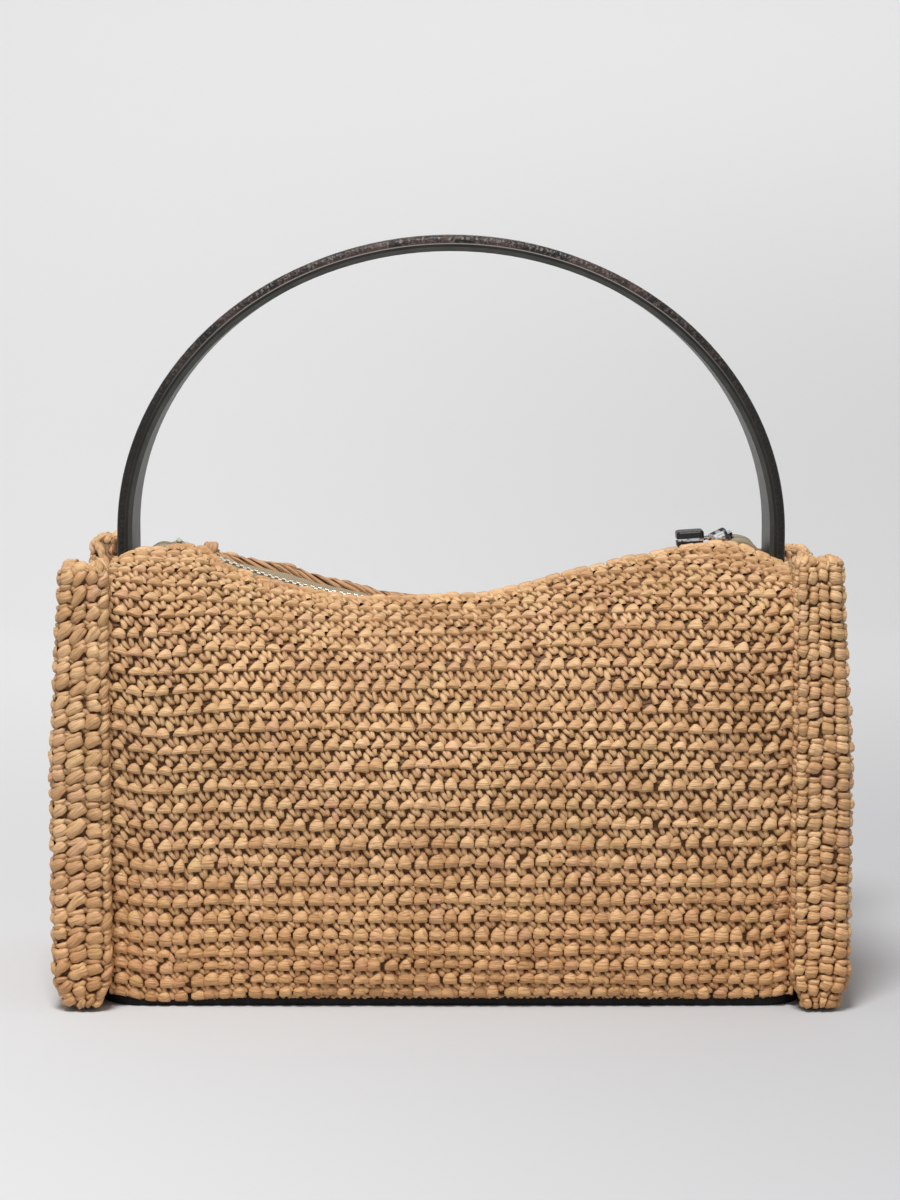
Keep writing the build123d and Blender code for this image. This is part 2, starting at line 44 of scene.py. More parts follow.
class Socket:
    """One output in a material's nodes. Sums and products on it add the Math nodes."""

    def __init__(self, tree, output=None):
        self.tree, self.output = tree, output

    def node(self, kind, settings=None, inputs=None, output=0):
        """Any node: its type, its settings, which are set first, and its inputs' values or links."""
        made = self.tree.nodes.new("ShaderNode" + kind)
        for name, value in (settings or {}).items():
            setattr(made, name, value)
        for name, value in (inputs or {}).items():
            if isinstance(value, Socket):
                self.tree.links.new(value.output, made.inputs[name])
            else:
                made.inputs[name].default_value = value
        return Socket(self.tree, made.outputs[output])

    def math(self, operation, other=0.0):
        return self.node("Math", {"operation": operation}, {0: self, 1: other})

    def __add__(self, other):
        return self.math("ADD", other)

    def __sub__(self, other):
        return self.math("SUBTRACT", other)

    def __mul__(self, other):
        return self.math("MULTIPLY", other)

    def __truediv__(self, other):
        return self.math("DIVIDE", other)

    def __rsub__(self, other):
        return self.node("Math", {"operation": "SUBTRACT"}, {0: other, 1: self})

    def over(self, low, high):
        """0 below low, 1 above high, with a soft step between."""
        settings = {"interpolation_type": "SMOOTHSTEP"}
        return self.node("MapRange", settings, {"Value": self, "From Min": low, "From Max": high})

    def mix(self, colour, other, blend="MIX"):
        """One colour turning into another as this value goes from 0 to 1."""
        settings = {"data_type": "RGBA", "blend_type": blend}
        return self.node("Mix", settings, {0: self, 6: colour, 7: other}, output=2)

    def stretched(self, scale):
        """These coordinates, scaled along each axis."""
        return self.node("VectorMath", {"operation": "MULTIPLY"}, {0: self, 1: scale})

    def part(self, axis):
        """One of the three numbers of these coordinates or this colour."""
        return self.node("SeparateXYZ", {}, {0: self}, output=axis)

    def noise(self, scale, detail=3.0, rough=0.55):
        inputs = {"Vector": self, "Scale": scale, "Detail": detail, "Roughness": rough}
        return self.node("TexNoise", {}, inputs)

    def cells(self, scale):
        return self.node("TexVoronoi", {}, {"Vector": self, "Scale": scale})

    def bump(self, strength, distance, under=None):
        inputs = {"Strength": strength, "Distance": distance, "Height": self}
        if under:
            inputs["Normal"] = under
        return self.node("Bump", {}, inputs)


def new_finish(name):
    """An empty material, its shader, and a socket to start its nodes from."""
    finish = bpy.data.materials.new(name)
    finish.use_nodes = True
    return finish, finish.node_tree.nodes["Principled BSDF"], Socket(finish.node_tree)


def connect(shader, **inputs):
    """Sets or links the shader's inputs; an underscore stands for a space."""
    for name, value in inputs.items():
        socket = shader.inputs[name.replace("_", " ")]
        if isinstance(value, Socket):
            value.tree.links.new(value.output, socket)
        else:
            socket.default_value = value


def dress(finish, *nodes):
    """Gives the plain solids of these nodes their finish."""
    for node in nodes:
        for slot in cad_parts[node].material_slots:
            slot.material = finish


def hand_over(piece, node):
    """The piece stands for this plain solid and moves with the bag."""
    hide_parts(node)
    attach(piece, "bag")


def grid_faces(rows, columns):
    """Quads over a grid of points."""
    corner = np.arange(rows - 1)[:, None] * columns + np.arange(columns - 1)
    return np.stack([corner, corner + 1, corner + columns + 1, corner + columns], -1)


def make_piece(name, grids, finish):
    """One mesh of many grids of points. Each grid is (points, details): the points are (copies, rows, columns, 3),
    and the details are the values that the finish reads, by name."""
    points, quads, details, start = [], [], {}, 0
    for place, values in grids:
        copies, rows, columns, _ = place.shape
        count = rows * columns
        faces = grid_faces(rows, columns).reshape(-1, 4)
        quads.append((faces[None] + (start + np.arange(copies) * count)[:, None, None]).reshape(-1, 4))
        points.append(place.reshape(-1, 3))
        for key, value in values.items():
            full = np.broadcast_to(value, place.shape[:3] + value.shape[3:])
            details.setdefault(key, []).append(full.reshape(-1, value.shape[3]))
        start += copies * count
    points, quads = np.concatenate(points), np.concatenate(quads)
    mesh = bpy.data.meshes.new(name)
    mesh.vertices.add(len(points))
    mesh.vertices.foreach_set("co", points.astype(np.float32).ravel())
    mesh.loops.add(quads.size)
    mesh.loops.foreach_set("vertex_index", quads.astype(np.int32).ravel())
    mesh.polygons.add(len(quads))
    mesh.polygons.foreach_set("loop_start", np.arange(0, quads.size, 4, dtype=np.int32))
    mesh.update(calc_edges=True)
    mesh.polygons.foreach_set("use_smooth", np.full(len(quads), True))
    for key, value in details.items():
        value = np.concatenate(value).astype(np.float32)
        kind = "FLOAT_COLOR" if value.shape[1] == 4 else "FLOAT_VECTOR"
        field = "color" if value.shape[1] == 4 else "vector"
        mesh.attributes.new(key, kind, "POINT").data.foreach_set(field, value.ravel())
    mesh.materials.append(finish)
    piece = bpy.data.objects.new(name, mesh)
    bpy.context.scene.collection.objects.link(piece)
    return piece


# Base: smooth black leather turned over the edges of a stiff fibreboard. Only its edge shows, as a thin dark
# band under the crochet. Both are the plain solids, which have the real shape.
leather, shader, start = new_finish("base_leather")
place = start.node("NewGeometry")
wear = place.noise(60.0)
connect(
    shader,
    Base_Color=wear.over(0.35, 0.75).mix((0.005, 0.004, 0.004, 1), (0.011, 0.009, 0.009, 1)),
    Roughness=wear * 0.2 + 0.5,
    Normal=place.cells(1500.0).bump(0.25, 0.0001),
)
shader.inputs["Specular IOR Level"].default_value = 0.2
dress(leather, "base_leather")

board, shader, start = new_finish("base_board")
place = start.node("NewGeometry")
flecks = place.noise(700.0, 4.0)
connect(
    shader,
    Base_Color=flecks.over(0.35, 0.65).mix((0.24, 0.19, 0.14, 1), (0.42, 0.35, 0.26, 1)),
    Roughness=0.9,
    Normal=flecks.bump(0.3, 0.0002),
)
dress(board, "base_board")


# Raffia: flat paper-like strands in warm tan, with pinkish and straw-coloured lengths, darker towards the bag's
# foot. Each stitch carries its own tone, how far it stands out of the cloth, and the line of its fibres.
raffia, shader, start = new_finish("raffia")
stitch = start.node("Attribute", {"attribute_name": "stitch"})
tone, hue, depth = stitch.part(0), stitch.part(1), stitch.part(2)
fibre = start.node("Attribute", {"attribute_name": "fibre"}, output=1)
place = start.node("NewGeometry")
patches = place.noise(22.0, 2.0)
streaks = fibre.stretched((0.25, 2.4, 1.0)).noise(1.0, 4.0, 0.6)
creases = fibre.stretched((0.13, 0.75, 1.0)).noise(1.0, 2.0, 0.5)
colour = (tone * 0.6 + patches * 0.66).over(0.33, 1.0).mix((0.548, 0.318, 0.150, 1), (0.722, 0.466, 0.244, 1))
colour = ((0.18 - hue).over(0.0, 0.16) * 0.36).mix(colour, (0.62, 0.355, 0.23, 1))
colour = (hue.over(0.84, 1.0) * 0.26).mix(colour, (0.58, 0.43, 0.18, 1))
colour = (streaks.over(0.35, 0.7) * 0.35).mix(colour, (0.70, 0.52, 0.36, 1), "MULTIPLY")
# Painted shade: where a strand sinks towards the cloth, and on the ground between the stitches, the colour turns
# dark brown in place of the shade in the gaps.
colour = (1 - depth.over(0.02, 0.80)).mix(colour, (0.125, 0.049, 0.010, 1))
colour = (1 - place.part(2).over(0.0, 0.085)).mix(colour, (1.0, 0.90, 0.80, 1), "MULTIPLY")
connect(
    shader,
    Base_Color=colour,
    Roughness=streaks * 0.15 + 0.44,
    Normal=streaks.bump(0.6, 0.0002, creases.bump(0.9, 0.0012)),
)
shader.inputs["Specular IOR Level"].default_value = 0.42


def ease(value):
    value = np.clip(value, 0.0, 1.0)
    return value * value * (3 - 2 * value)


def unit(vector):
    return vector / np.linalg.norm(vector, axis=-1, keepdims=True)


class Cloth:
    """A crocheted wall, given by lines of points that run up it, one for each place across it. Its top edge
    lies short of the lines' ends by beyond. Over a length of lid below that edge it turns to face upwards,
    and past the edge it turns towards inside, which is given for each line."""

    step = 0.0005
    tiny = 1e-12

    def __init__(self, across, lines, inset, outward=1.0, lid=0.0, beyond=0.0, inside=None):
        self.across = np.asarray(across)
        runs = [np.concatenate([[0], np.cumsum(np.linalg.norm(np.diff(line, axis=0), axis=1))]) for line in lines]
        self.length = np.array([run[-1] for run in runs])
        heights = np.arange(0, self.length.max() + 2 * self.step, self.step)
        self.points = np.empty((len(lines), len(heights), 3))
        for k, (run, line) in enumerate(zip(runs, lines)):
            for axis in range(3):
                self.points[k, :, axis] = np.interp(heights, run, line[:, axis])
            past = heights > run[-1]
            ahead = (line[-1] - line[-3]) / np.linalg.norm(line[-1] - line[-3])
            self.points[k, past] = line[-1] + (heights[past] - run[-1])[:, None] * ahead
        normals = np.cross(np.gradient(self.points, axis=0), np.gradient(self.points, axis=1)) * outward
        self.normals = normals / np.maximum(np.linalg.norm(normals, axis=-1, keepdims=True), self.tiny)
        self.beyond = beyond
        if lid:
            past = heights - self.length[:, None] + beyond
            turn, fold = ease((past + lid) / (0.75 * lid))[..., None], ease(past / 0.003)[..., None]
            upwards = np.array([0, 0, 1]) * (1 - fold) + np.array(inside)[:, None] * fold
            turned = self.normals * (1 - turn) + upwards * turn
            self.normals = turned / np.maximum(np.linalg.norm(turned, axis=-1, keepdims=True), self.tiny)
        self.points = self.points - self.normals * inset

    def top(self, across):
        """How far up the cloth its top edge lies at a place across it."""
        return np.interp(across, self.across, self.length - self.beyond)

    def at(self, across, up, out):
        """Points on the cloth, each moved out from it."""
        a = np.clip(np.interp(across, self.across, np.arange(len(self.across))), 0, len(self.across) - 1.001)
        u = np.clip(up / self.step, 0, self.points.shape[1] - 1.001)
        a0, u0 = a.astype(int), u.astype(int)
        fa, fu = (a - a0)[..., None], (u - u0)[..., None]

        def read(field):
            low = field[a0, u0] * (1 - fu) + field[a0, u0 + 1] * fu
            high = field[a0 + 1, u0] * (1 - fu) + field[a0 + 1, u0 + 1] * fu
            return low * (1 - fa) + high * fa

        return read(self.points) + read(self.normals) * out[..., None]


# A strand's section, half across and half up: where each of its points lies to the side, and how far it stands
# out as a share of the strand's rise. Points at -1 go down to the root, inside the cloth.
strand_root = -0.0012
thin_section = (np.array([-1.0, -0.92, -0.05, 0.90, 1.0]), np.array([-1.0, 0.66, 1.0, 0.68, -1.0]))
puffy_section = (
    np.array([-1.0, -0.97, -0.70, 0.0, 0.68, 0.96, 1.0]),
    np.array([-1.0, 0.40, 0.84, 1.0, 0.86, 0.42, -1.0]),
)
folded_section = (
    np.array([-1.0, -0.95, -0.62, 0.02, 0.72, 0.95, 1.0]),
    np.array([-1.0, 0.52, 0.90, 1.0, 0.84, 0.50, -1.0]),
)


def strand(route, half_width, rise, tint, section=thin_section):
    """Flattened strands along their routes on the cloth. The route is (stitches, stations, 2), across and up,
    and half_width and rise are (stitches, stations)."""
    sides, rises = section
    run = np.gradient(route, axis=1)
    run /= np.maximum(np.linalg.norm(run, axis=-1, keepdims=True), 1e-12)
    side = np.stack([-run[..., 1], run[..., 0]], axis=-1)
    spread = half_width[..., None] * sides
    flat = route[:, :, None] + side[:, :, None] * spread[..., None]
    tilt = 1 + chance.normal(0, 0.10, (len(route), 1, 1)) * sides
    out = np.where(rises < 0, strand_root, rise[..., None] * rises * tilt)
    length = np.cumsum(np.linalg.norm(np.diff(route, axis=1, prepend=route[:, :1]), axis=-1), axis=1)
    return np.concatenate([flat, out[..., None]], axis=-1), length[..., None] + 0 * spread, spread, tint


def tints(count):
    """Each stitch's tone, its hue, and where in the fibres' pattern it starts."""
    return chance.random(count), chance.random(count), chance.random(count)


def stitch_details(depth, length, spread, tint):
    """What the raffia finish reads: the stitch's tone, hue and depth, which sets its painted shade, and the line
    of its fibres.
    """
    tone, hue, offset = (np.broadcast_to(t[:, None, None], depth.shape) for t in tint)
    stitch = np.stack([tone, hue, depth, np.ones(depth.shape)], axis=-1)
    fibre = np.stack([length * 1000 + offset * 60, spread * 1000, offset * 90], axis=-1)
    return {"stitch": stitch, "fibre": fibre}


def on_cloth(cloth, grids, highest=0.0021):
    """Strands made on the cloth's flat plan, placed on it, with the details that the finish reads."""
    placed = []
    for flat, length, spread, tint in grids:
        points = cloth.at(flat[..., 0], flat[..., 1], flat[..., 2])
        depth = np.clip(flat[..., 2] / highest, 0, 1)
        placed.append((points, stitch_details(depth, length, spread, tint)))
    return placed


def ground(cloth, rows):
    """The inner layer of the cloth, coloured with painted shade between the stitches, and with less of it near its
    top edge.
    """
    across = cloth.across[::2]
    up = np.linspace(0, 1, rows)[:, None] * cloth.length[::2]
    points = cloth.at(np.broadcast_to(across, up.shape), up, np.zeros(up.shape))[None]
    zero = np.zeros((1, *up.shape))
    # A low depth gives the ground the finish's painted shade; near the top edge the depth rises, so the painted
    # shade is lighter there.
    paler_from, paler_over = 0.034, 0.015
    depth = zero + 0.04 + 0.20 * ease((up - cloth.length[::2] + paler_from) / paler_over)
    details = {"stitch": np.stack([zero + 0.5, zero + 0.5, depth, zero + 1], axis=-1)}
    details["fibre"] = np.stack([zero + across, zero + up, zero], axis=-1) * 1000
    return points, details


def spread_of(count, values, spread):
    """One row of values for each stitch, each a little different."""
    return np.asarray(values)[None] + chance.normal(0, spread, (count, len(values)))


def wandering(count, points, spread):
    """One route for each stitch, each moved a little as a whole and at its points."""
    points = np.asarray(points)
    whole = chance.normal(0, spread, (count, 1, 2))
    return points[None] + whole + chance.normal(0, spread / 2, (count, len(points), 2))


def single_crochet(left, bottom, high, wide, tall=0.57, span=1.0, slope=0.0):
    """Rows of single crochet, given each stitch's left edge, bottom and height on the cloth. Each stitch shows as
    a half-moon cap over a short leg and a slanting leg, with a link down to the next row. The cap's height and
    width, tall and span, are shares of the stitch's; slope is that of its row."""
    count = len(left)
    tint = tints(count)
    lift = chance.normal(0, 0.02, count)
    slopes = np.broadcast_to(slope, (count,))[:, None]
    milli = 0.001
    grids = []

    def laid(points, spread, half_width, rise):
        route = wandering(count, points, spread)
        u = left[:, None] + route[..., 0] * wide
        v = bottom[:, None] + (route[..., 1] + lift[:, None]) * high[:, None] + slopes * route[..., 0] * wide
        half = spread_of(count, half_width, 0.014) * abs(wide)
        grids.append(strand(np.stack([u, v], -1), half, spread_of(count, rise, 0.09) * milli, tint))

    # the slanting leg, under the next stitch's short leg
    laid(
        [(0.74, 0.12), (0.80, -0.06), (0.91, -0.20), (1.08, -0.32), (1.32, -0.38)],
        0.022,
        [0.11, 0.145, 0.175, 0.185, 0.14],
        [0.7, 1.2, 1.45, 1.4, 0.8],
    )
    # a deeper strand behind the gap above the next row's cap
    laid([(-0.20, -0.60), (0.10, -0.72), (0.45, -0.66)], 0.03, [0.10, 0.14, 0.10], [0.0, 0.25, 0.0])
    # the short leg
    leg = [(0.21, 0.10), (0.22, -0.10), (0.27, -0.30), (0.36, -0.47)]
    laid(leg, 0.022, [0.16, 0.17, 0.195, 0.155], [1.0, 1.4, 1.7, 0.9])
    # the link down to the next row's cap, over the slanting leg's lower edge
    link = [(0.59, -0.20), (0.66, -0.38), (0.78, -0.56), (0.84, -0.78)]
    laid(link, 0.025, [0.11, 0.19, 0.23, 0.225], [0.5, 1.5, 1.8, 1.4])
    # the cap, a half moon with its peak right of the middle
    stations = np.array([0.0, 0.04, 0.18, 0.40, 0.62, 0.82, 0.96, 1.0])
    share = np.array([0.0, 0.70, 0.93, 1.0, 1.0, 0.96, 0.72, 0.0])
    span = span + chance.normal(0, 0.055, count)
    peak = np.clip(0.62 + chance.normal(0, 0.09, count), 0.36, 0.84)[:, None]
    tall = (tall + chance.normal(0, 0.045, count))[:, None]
    shoulder = np.clip(0.26 + (tall - 0.6) * 0.9, 0.2, 0.6)
    before = np.clip(stations / peak, 0, 1)
    after = np.clip((stations - peak) / (1 - peak), 0, 1)
    arch = tall * (shoulder + (1 - shoulder) * np.sin(before * math.pi / 2) ** 0.95) * (1 - 0.45 * after**2.4)
    lean = chance.normal(0, 0.06, count)[:, None] * (stations - 0.5)
    low_edge = lean - 0.03 + chance.normal(0, 0.016, (count, 8)) + slopes * stations * wide / high[:, None]
    across = (left[:, None] + (stations * span[:, None] - 0.04) * wide)[:, :, None]
    sides = np.array([0.0, 0.04, 0.32, 0.84, 1.0])
    rises = np.array([-1.0, 0.76, 1.0, 0.66, -1.0])
    up = (low_edge[:, :, None] + arch[:, :, None] * sides + lift[:, None, None]) * high[:, None, None]
    top = (2.35 + chance.normal(0, 0.2, count))[:, None, None] * share[:, None] * milli
    out = np.where(rises < 0, strand_root, top * rises)
    flat = [np.broadcast_to(across, up.shape), bottom[:, None, None] + up, np.broadcast_to(out, up.shape)]
    length = np.broadcast_to(stations[None, :, None] * abs(wide), up.shape)
    grids.append((np.stack(flat, axis=-1), length, up, tint))
    return grids


# Front and back: rows of crochet from the base up to the sagging mouth, where the top edge rolls over a
# little towards the zip. The walls follow the plain solids; only the mouth's edges rise and dip further.
panel_end = 0.1196
panel_depth, panel_bulge, panel_foot_depth = 0.052, 0.004, 0.0500
mouth_end, mouth_gap, mouth_flare = 0.0935, 0.009, 0.0065
belly = 0.070
stitch_wide = 0.00531
front_roll, back_roll = 0.0022, 0.0015


def panel_line(x, edge_z, edge_roll):
    """Points up the outside of the front panel at x, and over its top edge."""
    edge_y = mouth_gap + mouth_flare * ease((abs(x) - mouth_end) / 0.016)
    boxy = (abs(x) / panel_end) ** 4
    depth = panel_depth + panel_bulge * (1 - (x / panel_end) ** 2)
    power = 2 / (2 + 3 * boxy)
    last = math.radians(62 + 24 * boxy)
    half_depth = (depth - edge_y) / (1 - math.cos(last) ** power)
    half_height = (edge_z - belly) / math.sin(last) ** power
    turn = np.linspace(math.pi / 2, 0, 60, endpoint=False)
    sunk_at, sunk_over, raised_from = -0.100, 0.012, 0.108
    sunk = 0.0012 * math.exp(-(((x - sunk_at) / sunk_over) ** 2))
    foot = 0.0030 - sunk + 0.0015 * ease((abs(x) - raised_from) / 0.012)
    foot_y = panel_foot_depth + (depth - panel_foot_depth) * np.abs(np.cos(turn)) ** (2 / 2.3)
    foot_z = belly - (belly - foot) * np.sin(turn) ** (2 / 2.6)
    turn = np.linspace(0, last, 120)
    y = np.concatenate([foot_y, depth - half_depth * (1 - np.cos(turn) ** power)])
    z = np.concatenate([foot_z, belly + half_height * np.sin(turn) ** power])
    line = np.stack([np.full_like(y, x), -y, z], axis=-1)
    ahead = (line[-1] - line[-2]) / np.linalg.norm(line[-1] - line[-2])
    outside = np.array([0, -ahead[2], ahead[1]])
    middle = line[-1] - outside * edge_roll
    angle = np.linspace(0.2, 2.5, 12)[:, None]
    return np.concatenate([line, middle + edge_roll * (outside * np.cos(angle) + ahead * np.sin(angle))])


# How far up the cloth some of the rows lie, in the middle of a panel and beside its ridges
marked_rows = (-1, 0, 3, 6, 9, 15, 18, 20, 22, 24, 27)
marked_middle = (0.0022, 0.0074, 0.0235, 0.0430, 0.0637, 0.1056, 0.1302, 0.1453, 0.1585, 0.1715, 0.191)
marked_side = (0.0000, 0.0052, 0.0214, 0.0408, 0.0620, 0.1029, 0.1232, 0.1365, 0.1505, 0.1635, 0.183)


def row_height(row, x):
    """How far up the cloth a row lies; the rows dip a little towards the ridges."""
    middle = np.interp(row, marked_rows, marked_middle)
    side = np.interp(row, marked_rows, marked_side)
    sway = 0.0004 * np.sin(x * 70 + row * 1.7) + 0.0003 * np.sin(x * 160 + row * 2.9)
    return middle + (side - middle) * np.clip(np.abs(x) / 0.118, 0, 1) ** 2 + sway


def panel_stitches(cloth, facing):
    """The stitches of a whole panel, with a border row on the front. Facing is 1 for the front and -1 for the
    back, whose rows run the other way."""
    columns = int(2 * panel_end / stitch_wide)
    rows = np.meshgrid(np.arange(-1, 27), np.arange(-1, columns + 1), indexing="ij")
    row, column = (v.ravel().astype(float) for v in rows)
    left = (column - columns / 2) * stitch_wide + chance.normal(0, 0.00030, len(row)) + row * 0.00005
    left = left * facing
    bottom = row_height(row, left)
    high = row_height(row + 1, left) - bottom
    top = cloth.top(left + stitch_wide / 2 * facing)
    last_row = 0.0052 if facing > 0 else 0.0060
    keep = bottom < top - last_row - 0.14 * high
    tall = np.interp(row, (0, 5, 9, 14), (0.90, 0.82, 0.68, 0.58))
    span = np.interp(row, (0, 6, 14), (0.93, 0.94, 0.99))
    grids = single_crochet(left[keep], bottom[keep], high[keep], stitch_wide * facing, tall[keep], span[keep])
    if facing > 0:
        left, low = left[row == 0], top[row == 0] - last_row
        slope = (cloth.top(left + stitch_wide) - cloth.top(left)) / stitch_wide
        border_high, border_out = 0.0056, 0.0004
        for grid in single_crochet(left, low, np.full(len(left), border_high), stitch_wide, 0.60, 1.14, slope):
            grid[0][..., 2] += border_out
            grids.append(grid)
    return grids


def edging(cloth, left, length, low, high, thick):
    """Strands that slant over the cloth's top edge. How far up from it they start and end, and how thick they
    are, is in millimetres."""
    left = left + chance.normal(0, 0.0004, len(left))
    top = cloth.top(left)[:, None]
    count = len(left)
    along = np.array([-0.05, 0.10, 0.34, 0.66, 0.90, 1.05])
    route = wandering(count, np.stack([along, low + (high - low) * np.clip(along, 0, 1)], -1), 0.05)
    flat = np.stack([left[:, None] + route[..., 0] * length, top + route[..., 1] * 0.001], axis=-1)
    half = spread_of(count, [0.45, 0.85, 1.0, 1.0, 0.85, 0.45], 0.07) * thick * 0.001
    rise = spread_of(count, [0.2, 0.85, 1.2, 1.25, 0.95, 0.2], 0.07) * thick * 0.001
    return [strand(flat, half, rise, tints(count), puffy_section)]


cloth_inset = 0.0014
places = np.linspace(-panel_end - 0.0015, panel_end + 0.0015, 163)

# The height of the mouth's edges along the bag: the front hides the zip except left of the middle, where it
# dips under the teeth, and the back stands a little higher there.
front_edge = np.array([
    (-0.1240, 0.1540), (-0.1202, 0.1558), (-0.1163, 0.1577), (-0.1118, 0.1593), (-0.0987, 0.1598),
    (-0.0902, 0.1592), (-0.0868, 0.1564), (-0.0825, 0.1531), (-0.0764, 0.1503), (-0.0635, 0.1462),
    (-0.0467, 0.1421), (-0.0348, 0.1403), (-0.0179, 0.1402), (-0.0036, 0.1410), (0.0100, 0.1411),
    (0.0240, 0.1441), (0.0395, 0.1485), (0.0553, 0.1527), (0.0686, 0.1555), (0.0833, 0.1590),
    (0.0976, 0.1609), (0.1037, 0.1606), (0.1095, 0.1578), (0.1166, 0.1550), (0.1242, 0.1529),
])
back_edge = np.array([
    (-0.1240, 0.1529), (-0.1100, 0.1540), (-0.0950, 0.1556), (-0.0847, 0.1560), (-0.0725, 0.1537),
    (-0.0604, 0.1514), (-0.0482, 0.1474), (-0.0357, 0.1447), (-0.0236, 0.1414), (-0.0114, 0.1399),
    (0.0110, 0.1397), (0.0300, 0.1415), (0.0550, 0.1475), (0.0800, 0.1555), (0.0976, 0.1580),
    (0.1095, 0.1560), (0.1242, 0.1529),
])
front_lines = [panel_line(x, np.interp(x, *front_edge.T), front_roll) for x in places]
front_cloth = Cloth(places, front_lines, cloth_inset)
back_lines = [panel_line(x, np.interp(x, *back_edge.T), back_roll) * (1, -1, 1) for x in places]
back_cloth = Cloth(places, back_lines, cloth_inset, -1.0)
front_edging = edging(front_cloth, np.arange(-0.1185, 0.1165, 0.0050), 0.0075, -2.8, -0.6, 1.15)
rope = edging(back_cloth, np.arange(-0.0885, 0.110, 0.0047), 0.0150, -2.7, 0.5, 1.35)[0]
tone, hue, offset = rope[3]
# Painted shade: the back edging's tones are cut to 0.4 of the rest, darker because this edge lies in shadow; its
# hues are also pinker.
back_edging = [(*rope[:3], (tone * 0.4, hue * 0.06, offset))]  # darker and more pinkish than the rest


def coil(middle, radius, thick, turns, tilt):
    """A short strand wound round on itself, as where the back's edging starts."""
    angle = np.linspace(0, turns * 2 * math.pi, 14 * turns)
    drift = (angle - angle.mean()) * 0.13
    ring = np.stack([drift + np.sin(angle) * tilt, np.cos(angle), np.sin(angle)], axis=-1) * radius
    ahead = unit(np.gradient(ring, axis=0))
    side = unit(np.cross(ahead, [1.0, 0.1, 0.2]))
    out = np.cross(side, ahead)
    around = np.linspace(0, 2 * math.pi, 9)
    shape = side[:, None] * np.cos(around)[:, None] + out[:, None] * np.sin(around)[:, None]
    points = np.array(middle) + ring[:, None] + shape * thick
    run, over = np.meshgrid(angle * radius, around * thick, indexing="ij")
    tint = (np.array([0.3]), np.array([0.05]), np.array([0.4]))
    return points[None], stitch_details(np.ones((1, *run.shape)) * 0.8, run[None], over[None], tint)


for name, cloth, facing, border in (
    ("front", front_cloth, 1.0, front_edging),
    ("back", back_cloth, -1.0, back_edging),
):
    grids = [ground(cloth, 44)] + on_cloth(cloth, panel_stitches(cloth, facing) + border)
    if facing < 0:
        grids.append(coil((-0.0886, 0.0112, 0.1561), 0.0018, 0.0012, 3, 0.35))
    piece = make_piece(name + "_crochet", grids, raffia)
    hand_over(piece, name + "_panel")


# Ends: a wall of crochet set back between two standing corner ridges. On the ridges the rows run upright, in
# columns of fat puffy stitches, and wrap over their tops and under their feet.
end_heights = (0.0, 0.012, 0.088, 0.160)
end_sizes = {
    "out": (0.136, 0.140, 0.140, 0.136),
    "half": (0.058, 0.060, 0.058, 0.054),
    "recess": (0.0035, 0.0045, 0.0122, 0.0082),
}
ridge_inner = 0.120
ridge_run = 0.014
ridge_row_start = 0.0036
end_row = 0.0066
edging_thick = 1.35


def end_plan(height):
    """The right end's outline at a height, seen from above, from its front ridge round to its back ridge."""
    out, half, recess = (np.interp(height, end_heights, end_sizes[k]) for k in ("out", "half", "recess"))
    side = half - ridge_run
    inner = ridge_inner + 0.0045 * ease((0.014 - height) / 0.014)
    corners = [
        (out - recess - 0.0045, -half + 0.0150, 0.0),
        (inner + 0.0006, -half + 0.0142, 0.0022),
        (inner, -half, 0.0026),
        (out, -half, 0.0048),
        (out, -side, 0.0034),
        (out - recess, -side + recess, 0.0040),
    ]
    corners += [(x, -y, r) for x, y, r in reversed(corners)]
    blocks = []
    for k, (x, y, radius) in enumerate(corners):
        here = np.array([x, y])
        if radius == 0.0:
            blocks.append(here[None])
            continue
        before = here + radius * unit(np.array(corners[k - 1][:2]) - here)
        after = here + radius * unit(np.array(corners[k + 1][:2]) - here)
        t = np.linspace(0, 1, 8)[:, None]
        blocks.append((1 - t) ** 2 * before + 2 * t * (1 - t) * here + t**2 * after)
    runs = []
    for k, block in enumerate(blocks):
        runs.append(block)
        if k + 1 < len(blocks):
            t = np.linspace(0, 1, 10, endpoint=False)[1:, None]
            runs.append(block[-1] + (blocks[k + 1][0] - block[-1]) * t)
    return np.concatenate(runs)


def nearest(points, spine):
    """The point of a line of points, seen from above, that is nearest to each given one."""
    best, away = points.copy(), np.full(len(points), 1e9)
    for a, b in zip(spine[:-1], spine[1:]):
        t = np.clip(((points - a) @ (b - a)) / ((b - a) @ (b - a)), 0, 1)[:, None]
        there = a + (b - a) * t
        far = np.linalg.norm(points - there, axis=1)
        closer = far < away
        best[closer], away[closer] = there[closer], far[closer]
    return best


